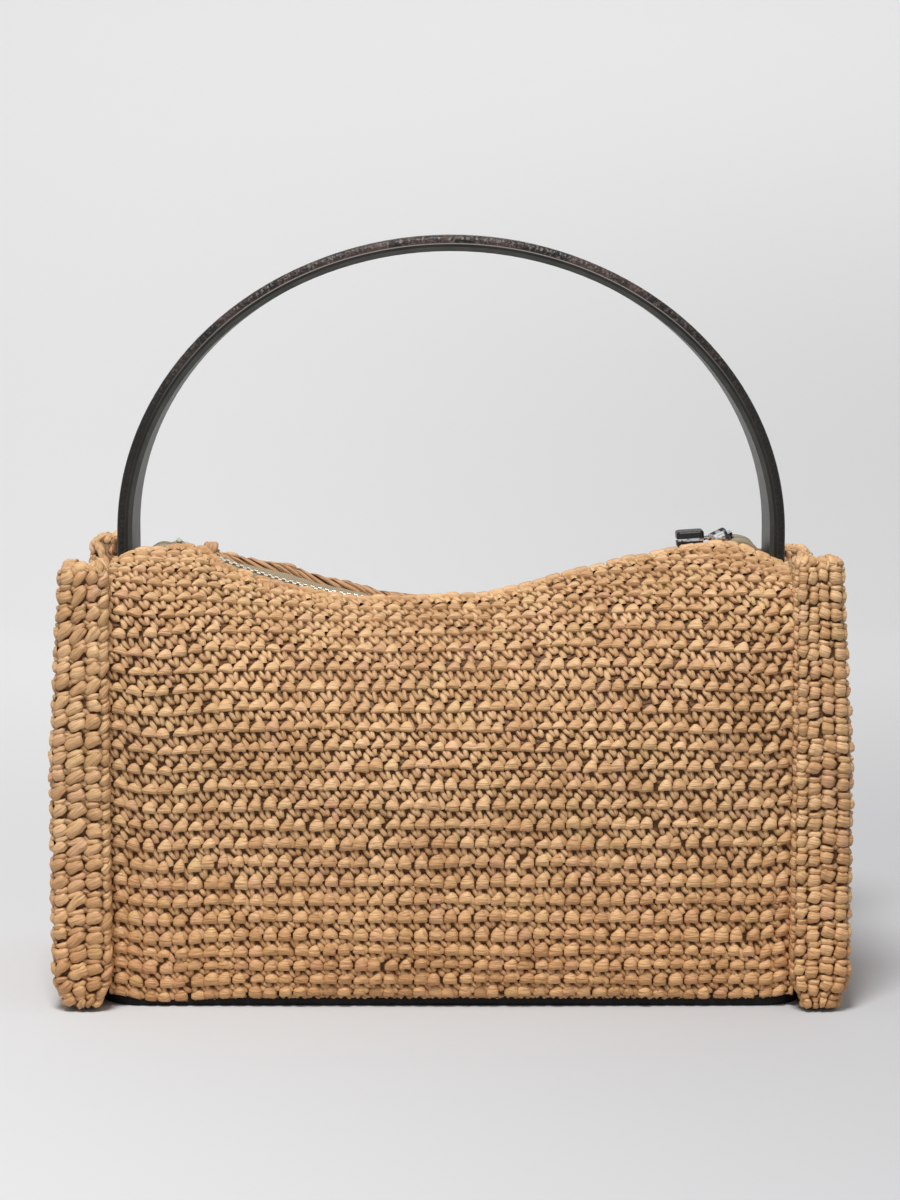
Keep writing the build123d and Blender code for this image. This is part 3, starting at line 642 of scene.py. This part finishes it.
def end_cloth(front_top, back_top):
    """The right end: upright lines that start under its foot and close over the top along its middle line."""
    levels = np.concatenate([np.linspace(0.0026, 0.012, 8), np.linspace(0.0155, 0.157, 48)])
    plans = np.stack([end_plan(z) for z in levels])
    middle = end_plan(0.060)
    across = np.concatenate([[0], np.cumsum(np.linalg.norm(np.diff(middle, axis=0), axis=1))])
    half_spine = [(0.1245, -0.0497), (0.1305, -0.0493), (0.1306, -0.0428), (0.1256, -0.0365), (0.1256, 0.0)]
    spine = np.array(half_spine + [(x, -y) for x, y in reversed(half_spine[:-1])])
    foot_spine = spine * (1.012, 1.045)
    corner = across[np.argmin(np.linalg.norm(middle - (ridge_inner, middle[:, 1].min()), axis=1))]
    wall_top, wall_half = 0.1500, 0.0445
    dip = ease((wall_half - np.abs(middle[:, 1])) / 0.009)
    ridge_top = np.where(middle[:, 1] < 0, front_top, back_top)
    top_height = ridge_top + (wall_top - ridge_top) * dip
    lines, inside = [], []
    radius, inner_radius, hidden = 0.0040, 0.0022, 0.008  # of the rolled edge, and how far it goes on inside
    foot_rim = ((0.0035, -0.0014), (0.0018, -0.0012), (0.0006, -0.0007))
    for k in range(len(middle)):
        column = np.column_stack([plans[:, k], levels])
        under = nearest(plans[0, k : k + 1], foot_spine)[0]
        way = np.append(unit(under - plans[0, k]), 0.0)
        rim = [column[0] + way * inwards + (0, 0, height) for inwards, height in foot_rim]
        rising = column[column[:, 2] < top_height[k] - radius - 0.001]
        lean = rising[-1] - rising[-3]
        edge = rising[-1] + lean / lean[2] * (top_height[k] - radius - rising[-1][2])
        target = np.append(nearest(edge[None, :2], spine)[0], edge[2])
        angle = np.linspace(0, math.pi / 2, 12)[:, None]
        over = edge + (target - edge) * (1 - np.cos(angle)) + np.array([0, 0, 1]) * radius * np.sin(angle) ** 0.8
        way = target - edge
        way = way / max(np.linalg.norm(way), 1e-9)
        down = over[-1] + inner_radius * (way * np.sin(angle[1:]) + np.array([0, 0, 1]) * (np.cos(angle[1:]) - 1))
        last = down[-1] + np.array([0, 0, -1]) * np.linspace(0.001, hidden, 6)[:, None]
        lines.append(np.concatenate([rim, rising, over, down, last]))
        inside.append(way)
    beyond = inner_radius * math.pi / 2 + hidden
    return Cloth(across, lines, cloth_inset, lid=0.0055, beyond=beyond, inside=inside), corner


def ridge_columns(edges, outward, high, ridge_top, lean):
    """Columns of puffy stitches between the given edges; outward is 1 where the ridge's outer side lies further
    along the cloth. Each stitch is a fat strand rising towards the inner side, with a smaller one above it, as
    steep as lean says."""
    grids = []
    for first, last in zip(edges[:-1], edges[1:]):
        rows = np.arange(ridge_row_start, ridge_top, high)
        count = len(rows)
        middle = (first + last) / 2 + chance.normal(0, 0.00022, count)
        wide = abs(last - first)
        base = rows + chance.normal(0, 0.00035, count) + chance.uniform(-0.0012, 0.0012)
        tint = tints(count)
        slant = np.clip(1 + chance.normal(0, 0.35, count), 0.1, 1.7)
        fat = [(0.46, -0.30), (0.36, -0.20), (0.16, -0.05), (-0.12, 0.12), (-0.34, 0.26), (-0.46, 0.34)]
        route = wandering(count, fat, 0.035)
        up = base[:, None] + route[..., 1] * slant[:, None] * high * lean
        flat = np.stack([middle[:, None] + outward * route[..., 0] * wide * 1.03, up], axis=-1)
        half = spread_of(count, [0.22, 0.30, 0.35, 0.365, 0.35, 0.28], 0.035) * high
        rise = spread_of(count, [0.7, 1.7, 2.2, 2.45, 2.3, 1.0], 0.22) * 0.001
        grids.append(strand(flat, half, rise, tint, folded_section))
        second = [(0.50, 0.30), (0.38, 0.37), (0.16, 0.44), (-0.08, 0.50), (-0.28, 0.55), (-0.46, 0.58)]
        route = wandering(count, second, 0.035)
        up = base[:, None] + (0.45 + (route[..., 1] - 0.45) * lean) * high
        flat = np.stack([middle[:, None] + outward * route[..., 0] * wide, up], axis=-1)
        half = spread_of(count, [0.12, 0.165, 0.185, 0.19, 0.175, 0.14], 0.02) * high
        rise = spread_of(count, [0.4, 1.5, 1.9, 2.1, 2.0, 0.8], 0.14) * 0.001
        grids.append(strand(flat, half, rise, tint, folded_section))
        # the strand that ties it to the next column, deeper in
        route = wandering(count, [(0.20, -0.52), (0.35, -0.50), (0.55, -0.44), (0.75, -0.36)], 0.04)
        up = base[:, None] + route[..., 1] * high
        flat = np.stack([middle[:, None] + outward * route[..., 0] * wide, up], axis=-1)
        half = spread_of(count, [0.14, 0.18, 0.18, 0.14], 0.02) * high
        rise = spread_of(count, [0.9, 1.2, 1.2, 0.9], 0.1) * 0.001
        grids.append(strand(flat, half, rise, tint))
    return grids


def end_stitches(cloth, corner, columns, high, lean):
    """The two ridges' columns, the rows of the wall between them, and the strands over the top."""
    total = cloth.across[-1]
    edges = np.array(columns) * 0.001 + corner
    ridge_top = cloth.top(corner + 0.010) - 0.002
    grids = ridge_columns(edges, 1.0, high, ridge_top, lean)
    grids += ridge_columns(total - edges, -1.0, high, ridge_top, lean)
    first, last = edges[-1] - 0.0005, total - edges[-1]
    count = int((last - first) / stitch_wide)
    row, column = (v.ravel() for v in np.meshgrid(np.arange(0.0, 26.0), np.arange(0.0, count), indexing="ij"))
    left = first + column * stitch_wide + chance.normal(0, 0.0003, len(row))
    bottom = 0.004 + row * end_row + chance.normal(0, 0.0002, len(row))
    keep = bottom < cloth.top(left) - 0.006
    grids += single_crochet(left[keep], bottom[keep], np.full(keep.sum(), end_row), stitch_wide)
    for low, top, reach, step in (
        (-8.0, -2.0, 0.0040, 0.0040),
        (-5.0, 0.0, 0.0060, 0.0044),
        (-1.5, 6.5, 0.0036, 0.0044),
    ):
        over = np.arange(0.002, total - 0.006, step)
        grids += edging(cloth, over, reach, low, top, edging_thick)
    return grids


# Where the columns' edges lie, in millimetres along the cloth from the ridge's inner corner
left_columns = (-20.5, -15.0, -9.5, -4.0, 1.9, 7.6, 14.2, 20.2, 26.2, 32.2)
right_columns = (-20.5, -15.0, -9.5, -4.4, 0.0, 4.2, 9.1, 14.2, 19.8, 25.8, 31.8)
for side, columns, high, lean, tops in (
    (1.0, right_columns, 0.0066, 0.35, (0.1605, 0.1530)),
    (-1.0, left_columns, 0.0063, 1.0, (0.1585, 0.1575)),
):
    cloth, corner = end_cloth(*tops)
    grids = [ground(cloth, 100)] + on_cloth(cloth, end_stitches(cloth, corner, columns, high, lean), 0.0023)
    grids = [(points * (side, 1, 1), details) for points, details in grids]
    for points, _ in grids:
        points[..., 2] = np.maximum(points[..., 2], 0.0002)
    if side < 0:  # a mirrored grid is turned round, so that its faces still look outwards
        grids = [(p[:, :, ::-1], {key: v[:, :, ::-1] for key, v in details.items()}) for p, details in grids]
    name = "right" if side > 0 else "left"
    piece = make_piece(name + "_end_crochet", grids, raffia)
    hand_over(piece, name + "_end_panel")


# Handle: an outer strap of grained dark brown leather, domed over a firm filler, and a smooth strap inside it.
# The plain solids have the real shape. The grain stops at a seam line, painted pale as a highlight along its
# crease, below which the edge is smooth.
arch_foot, arch_half_span, arch_rise = 0.1645, 0.1203, 0.1068


def strap_depth(start):
    """How deep inside the handle's outer face a point lies, and where it is."""
    place = start.node("NewGeometry")
    x = place.part(0)
    z = (place.part(2) - arch_foot).math("MAXIMUM", 0.0)
    across, up = x / arch_half_span, z / arch_rise
    ring = (across * across + up * up).math("SQRT")
    reach = (x * x + z * z).math("SQRT")
    return reach / ring - reach, place


grain, shader, start = new_finish("handle_grain")
depth, place = strap_depth(start)
side = depth.over(0.0026, 0.0028)
seam_highlight = side * (1 - depth.over(0.0030, 0.0032))
pebble = place.cells(820.0)
hair = place.noise(900.0, 5.0, 0.65)
blotch = place.noise(90.0, 3.0)
# Painted light: the grained face keeps its brown mottle and pale flecks only high on the arch, where the light
# from above falls, and turns near-black lower down as painted shade.
painted_light_high_up = place.part(2).over(0.20, 0.262)
tan = (blotch.over(0.42, 0.68) * painted_light_high_up).mix((0.009, 0.008, 0.007, 1), (0.066, 0.040, 0.032, 1))
tan = (hair.over(0.50, 0.66) * (painted_light_high_up * 0.92 + 0.08)).mix(tan, (0.14, 0.10, 0.083, 1))
dark = blotch.over(0.3, 0.7).mix((0.007, 0.007, 0.006, 1), (0.014, 0.014, 0.011, 1))
colour = side.mix(tan, dark)
# Painted highlight: a pale line along the seam's crease, strongest high on the arch.
colour = (seam_highlight * (painted_light_high_up * 0.95 + 0.05)).mix(colour, (0.26, 0.225, 0.205, 1))
rough_grain = (1 - side) * pebble
connect(
    shader,
    Base_Color=colour,
    Roughness=blotch * 0.2 + 0.36,
    Normal=rough_grain.bump(0.7, 0.0004, hair.bump(0.2, 0.0002)),
)
shader.inputs["Specular IOR Level"].default_value = 0.38
dress(grain, "handle_outer_leather")

smooth, shader, start = new_finish("handle_smooth")
place = start.node("NewGeometry")
blotch = place.noise(120.0, 3.0)
fine = place.noise(1800.0, 3.0)
connect(
    shader,
    Base_Color=blotch.over(0.3, 0.7).mix((0.026, 0.026, 0.023, 1), (0.042, 0.042, 0.037, 1)),
    Roughness=blotch * 0.15 + 0.38,
    Normal=fine.bump(0.12, 0.0001),
)
dress(smooth, "handle_inner_leather")

core, shader, start = new_finish("handle_core")
place = start.node("NewGeometry")
flecks = place.noise(900.0, 4.0)
connect(
    shader,
    Base_Color=flecks.over(0.35, 0.65).mix((0.20, 0.12, 0.07, 1), (0.38, 0.26, 0.16, 1)),
    Roughness=0.85,
    Normal=flecks.bump(0.3, 0.0002),
)
dress(core, "handle_core")

# Zip metal: pale polished brass for the teeth and stops, and chrome for the slider and the puller's link.
brass, shader, start = new_finish("zip_metal")
place = start.node("NewGeometry")
tarnish = place.noise(260.0, 3.0)
connect(
    shader,
    Base_Color=tarnish.over(0.3, 0.7).mix((0.93, 0.90, 0.80, 1), (0.76, 0.70, 0.56, 1)),
    Roughness=tarnish * 0.25 + 0.16,
    Normal=place.noise(2600.0, 2.0).bump(0.08, 0.0001),
)
shader.inputs["Metallic"].default_value = 1.0
dress(brass, "zip_teeth_front", "zip_teeth_back", "zip_top_stops", "zip_bottom_stop")
dress(brass, "left_anchor_rivets", "right_anchor_rivets")

chrome, shader, start = new_finish("chrome")
place = start.node("NewGeometry")
painted_reflections = place.noise(420.0, 2.0)
# Painted reflections: the chrome's colour breaks into near-white and near-black patches in place of reflections of
# bright and dark surroundings; its roughness follows the same patches.
connect(
    shader,
    Base_Color=painted_reflections.over(0.44, 0.57).mix((0.86, 0.86, 0.88, 1), (0.10, 0.10, 0.11, 1)),
    Roughness=painted_reflections * 0.12 + 0.07,
)
shader.inputs["Metallic"].default_value = 1.0
dress(chrome, "zip_slider", "puller_link")

puller, shader, start = new_finish("puller_leather")
place = start.node("NewGeometry")
blotch = place.noise(400.0, 3.0)
connect(
    shader,
    Base_Color=blotch.over(0.3, 0.7).mix((0.005, 0.005, 0.005, 1), (0.011, 0.010, 0.011, 1)),
    Roughness=blotch * 0.2 + 0.34,
    Normal=place.cells(2400.0).bump(0.2, 0.0001),
)
dress(puller, "puller_leather_top", "puller_leather_bottom")

patch, shader, start = new_finish("patch_leather")
place = start.node("NewGeometry")
flecks = place.noise(700.0, 4.0)
connect(
    shader,
    Base_Color=flecks.over(0.35, 0.65).mix((0.15, 0.085, 0.045, 1), (0.25, 0.155, 0.09, 1)),
    Roughness=0.75,
    Normal=place.cells(1100.0).bump(0.3, 0.0002),
)
dress(patch, "left_anchor_patch", "right_anchor_patch")


# Zip tapes: olive woven tape along the zip's arc, bent down at each end, with a hem that hangs under the
# crochet's edge and carries on round both bends. Each piece is a flat strip and a hem strip of thin cloth.
zip_centre, zip_radius = 0.362006, 0.224994
tape_half = 0.1009894
tape_swing = math.asin(tape_half / zip_radius)
tape_turn = 0.0076
tape_in, tape_out, tape_hem, tape_tail_end = 0.00115, 0.0086, 0.008, 0.14995
tape_thick = 0.0006
slider_room = 0.0048  # the tape lies flat this far out on each side, so that the slider passes


def tape_route():
    """Points along the tape, the way that its hem hangs at each, and how much of it there is."""
    angle = np.linspace(-tape_swing, tape_swing, 150)
    arc_way = np.stack([np.sin(angle), -np.cos(angle)], axis=-1)
    arc = (0, zip_centre) + zip_radius * arc_way
    centre = arc[-1] + np.array([math.sin(tape_swing), -math.cos(tape_swing)]) * tape_turn
    round_angle = np.linspace(math.pi / 2 + tape_swing, 0, 26)[1:]
    bend = centre + tape_turn * np.stack([np.cos(round_angle), np.sin(round_angle)], axis=-1)
    tail = np.stack([np.full(8, bend[-1, 0]), np.linspace(bend[-1, 1], tape_tail_end, 9)[1:]], axis=-1)
    right = np.concatenate([bend, tail])
    right_way = np.concatenate([(centre - bend) / tape_turn, np.tile((-1.0, 0.0), (8, 1))])
    share = np.concatenate([np.linspace(0.55, 0.35, 25), np.linspace(0.3, 0, 8)])
    route = np.concatenate([right[::-1] * (-1, 1), arc, right])
    way = np.concatenate([right_way[::-1] * (-1, 1), arc_way, right_way])
    return route, way, np.concatenate([share[::-1], np.ones(150), share])


tape, shader, start = new_finish("zip_tape")
weave = start.node("Attribute", {"attribute_name": "weave"}, output=1)
along, over = weave.part(0), weave.part(1)
zigzag = over.math("PINGPONG", 1.6)
ribs = ((along * 9.0 + zigzag * 7.0).math("SINE") + 1.0) * 0.5
threads = ((over * 26.0).math("SINE") + 1.0) * 0.5
speckle = weave.noise(2.5, 3.0)
cloth_colour = (ribs * 0.6 + threads * 0.25 + speckle * 0.3).over(0.25, 0.95)
connect(
    shader,
    Base_Color=cloth_colour.mix((0.225, 0.182, 0.115, 1), (0.47, 0.39, 0.265, 1)),
    Roughness=speckle * 0.1 + 0.75,
    Normal=(ribs + threads * 0.5).bump(0.5, 0.00025),
)
shader.inputs["Specular IOR Level"].default_value = 0.25
route, hem_way, hem_share = tape_route()
route_run = np.concatenate([[0], np.cumsum(np.linalg.norm(np.diff(route, axis=0), axis=1))])
on_arc = (np.abs(route[:, 0]) <= tape_half + 1e-6) & (route[:, 1] < 0.1612)
widths = [np.linspace(tape_in, slider_room, 3)[:-1], np.linspace(slider_room, tape_out, 5), np.full(6, tape_out)]
widths = np.concatenate(widths)
beside_slider = ease((widths - slider_room) / (tape_out - slider_room))
hang = np.concatenate([np.zeros(7), np.linspace(0, tape_hem, 7)[1:]])
for name, facing in (("front", -1.0), ("back", 1.0)):
    low = route[:, None] + hem_way[:, None] * hang[:, None] * hem_share[:, None, None]
    y = np.broadcast_to(widths * facing, low.shape[:2])
    ripple = 0.00012 * np.sin(route_run[:, None] * 900 + facing) * (widths > 0.004) * (hang == 0)
    edge = front_edge if facing < 0 else back_edge
    climb = np.interp(low[:, 0, 0], *edge.T) - 0.0034 - low[:, 0, 1]
    climb = np.clip(climb, 0, 0.006) * ease((tape_half - np.abs(low[:, 0, 0])) / 0.010) * on_arc
    ripple = ripple + climb[:, None] * beside_slider
    left_end = -low[:, :1, 0] * (low[:, :1, 1] > 0.152)
    ripple = ripple - 0.0022 * ease((left_end - 0.0985) / 0.0045)
    ripple = ripple - 0.0018 * ease((left_end - 0.0900) / 0.0085) * beside_slider
    points = np.stack([low[..., 0], y, low[..., 1] + ripple], axis=-1)
    over_tape = np.broadcast_to(widths + hang, y.shape) * 1000
    weave_at = np.stack([np.broadcast_to(route_run[:, None] * 1000, y.shape), over_tape, 0 * y], axis=-1)
    inner = (points[None, :, :7], {"weave": weave_at[None, :, :7]})
    hem = (points[None, :, 6:], {"weave": weave_at[None, :, 6:]})
    piece = make_piece(name + "_zip_tape", [inner, hem], tape)
    hand_over(piece, "zip_tape_" + name)
    thicken = piece.modifiers.new("thickness", "SOLIDIFY")
    thicken.thickness, thicken.offset = tape_thick, 0.0
    "zip_teeth_" + name


# Lining: thin cotton twill, sewn up as a front, a back and a strip that runs down one end, under the contents
# and up the other, and hung from the tapes. A slip pocket lies flat on the back lining. No cloth is simulated.
twill, shader, start = new_finish("lining_twill")
weave = start.node("Attribute", {"attribute_name": "weave"}, output=1)
ribs = ((weave.part(0) * 7.0 + weave.part(1) * 7.0).math("SINE") + 1.0) * 0.5
fade = weave.noise(0.06, 3.0)
connect(
    shader,
    Base_Color=(ribs * 0.5 + fade * 0.6).over(0.2, 0.9).mix((0.25, 0.20, 0.135, 1), (0.38, 0.31, 0.22, 1)),
    Roughness=0.85,
    Normal=ribs.bump(0.4, 0.0002),
)
shader.inputs["Specular IOR Level"].default_value = 0.25
lining_end, lining_floor, lining_inset = 0.1112, 0.0068, 0.0072
lining_top, below_edge, slack = 0.1545, 0.0022, 1.001


def hang_cloth(name, points, node, rests_on):
    """One sheet of lining over a grid of points, its weave laid along the runs up and across the finished sheet."""
    up = np.cumsum(np.pad(np.linalg.norm(np.diff(points, axis=0), axis=-1), [(1, 0), (0, 0)]), axis=0)
    over = np.cumsum(np.pad(np.linalg.norm(np.diff(points, axis=1), axis=-1), [(0, 0), (1, 0)]), axis=1)
    weave = np.stack([over, up, 0 * up], axis=-1) * 1000
    piece = make_piece(name, [(points[None], {"weave": weave[None]})], twill)
    hand_over(piece, node)


lining_places = np.linspace(-lining_end, lining_end, 61)
side_lines = {}
for name, facing, edge in (("front", 1.0, front_edge), ("back", -1.0, back_edge)):
    tops = [min(np.interp(x, *edge.T), lining_top) - below_edge for x in lining_places]
    lines = [panel_line(x, top, back_roll) * (1, facing, 1) for x, top in zip(lining_places, tops)]
    cloth = Cloth(lining_places, lines, lining_inset, facing)
    low = [np.interp(lining_floor, line[:200, 2], np.arange(200)) for line in cloth.points]
    low = np.array(low) * cloth.step
    ends = cloth.length - 0.0062
    up = low + np.linspace(0, 1, 60)[:, None] * (ends - low)
    side_lines[name] = cloth.at(np.broadcast_to(lining_places, up.shape), up, np.zeros(up.shape))
    hang_cloth(name + "_lining", side_lines[name], "lining_" + name, [name + "_zip_tape"])
    if facing < 0:
        x = np.linspace(-0.075, 0.075, 31)
        up = low.mean() + np.linspace(0.027, 0.103, 24)[:, None] + 0 * x
        pocket = cloth.at(np.broadcast_to(x, up.shape), up, np.full(up.shape, -0.0010))
        hang_cloth("pocket_cloth", pocket, "slip_pocket", ["back_lining"])

# The strip's route round the inside, and its two sides, which follow the front and back lining's ends
wall_front, wall_back = side_lines["front"][:, -1], side_lines["back"][:, -1]
rise = np.linspace(0.148, lining_floor, 40)
ahead = [np.interp(rise, wall[:, 2], wall[:, 1]) for wall in (wall_front, wall_back)]
turn = np.linspace(0, math.pi / 2, 6)[1:]
bend = np.stack([lining_end - 0.0015 * (1 - np.cos(turn)), lining_floor - 0.0003 * np.sin(turn)], axis=-1)
along_floor = np.stack([np.linspace(bend[-1, 0], -bend[-1, 0], 60)[1:-1], np.full(58, bend[-1, 1])], axis=-1)
down = np.concatenate([np.stack([np.full(40, lining_end), rise], -1), bend])
strip_route = np.concatenate([down, along_floor, down[::-1] * (-1, 1)])
strip_sides = []
for side in ahead:
    end = np.concatenate([side, np.full(5, side[-1])])
    strip_sides.append(np.concatenate([end, np.full(58, side[-1]), end[::-1]]))
share = np.linspace(0, 1, 25)
y = strip_sides[0][:, None] * (1 - share) + strip_sides[1][:, None] * share
x, z = (np.broadcast_to(strip_route[:, [axis]], y.shape) for axis in (0, 1))
hang_cloth("gusset_lining", np.stack([x, y, z], axis=-1), "lining_gusset", ["front_lining", "back_lining"])


# Studio: a pale floor that curves up behind, soft light from above and in front, and a camera a metre away,
# a little above the bag and looking slightly down.
paper, shader, start = new_finish("studio_paper")
place = start.node("NewGeometry")
x, y, z = place.part(0), place.part(1), place.part(2)
# Painted light and shade on the paper: on the floor it is darker towards the front, against the lamp's pool of
# light there, and darker to the right, where the light falls off; on the wall it is a little paler to the right.
near = x.over(-0.22, 0.22).mix((0.605, 0.608, 0.615, 1), (0.490, 0.493, 0.502, 1))
far = x.over(-0.36, 0.40).mix((0.855, 0.855, 0.855, 1), (0.745, 0.745, 0.745, 1))
wall = x.over(-0.50, 0.50).mix((0.915, 0.915, 0.915, 1), (0.935, 0.935, 0.935, 1))
tone = y.over(0.10, 0.90).mix(near, far)
connect(shader, Base_Color=z.over(0.05, 0.45).mix(tone, wall), Roughness=0.95)
shader.inputs["Specular IOR Level"].default_value = 0.0
sweep_from, sweep_radius = 0.9, 0.8
sweep = [(-3.0, 0.0), (sweep_from, 0.0)]
for angle in np.linspace(0.1, math.pi / 2, 12):
    sweep.append((sweep_from + sweep_radius * math.sin(angle), sweep_radius - sweep_radius * math.cos(angle)))
sweep += [(1.7, 4.0)]
points = np.array([[(x, y, z) for x in (4.0, -4.0)] for y, z in sweep])
floor = make_piece("studio_floor", [(points[None], {})], paper)

world = bpy.data.worlds.new("studio")
bpy.context.scene.world = world
world.use_nodes = True
world.node_tree.nodes["Background"].inputs[0].default_value = (1, 1, 1, 1)
world.node_tree.nodes["Background"].inputs[1].default_value = 0.44


def lamp(name, place, target, size, watts):
    """A round soft light, turned to face its target."""
    light = bpy.data.lights.new(name, "AREA")
    light.shape, light.size, light.energy = "DISK", size, watts
    made = bpy.data.objects.new(name, light)
    bpy.context.scene.collection.objects.link(made)
    made.location = place
    made.rotation_euler = (Vector(target) - Vector(place)).to_track_quat("-Z", "Y").to_euler()


lamp("lamp_above", (-0.19, -0.82, 1.80), (0, 0, 0.1), 0.6, 36)

camera = bpy.data.objects.new("camera", bpy.data.cameras.new("camera"))
bpy.context.scene.collection.objects.link(camera)
bpy.context.scene.camera = camera
looking_down = 7.70  # degrees
camera.data.lens = 87.75
camera.location = (-0.0004, -1.060, 0.2821)
camera.rotation_euler = (math.radians(90 - looking_down), 0, 0)
bpy.context.scene.view_settings.view_transform = "Standard"
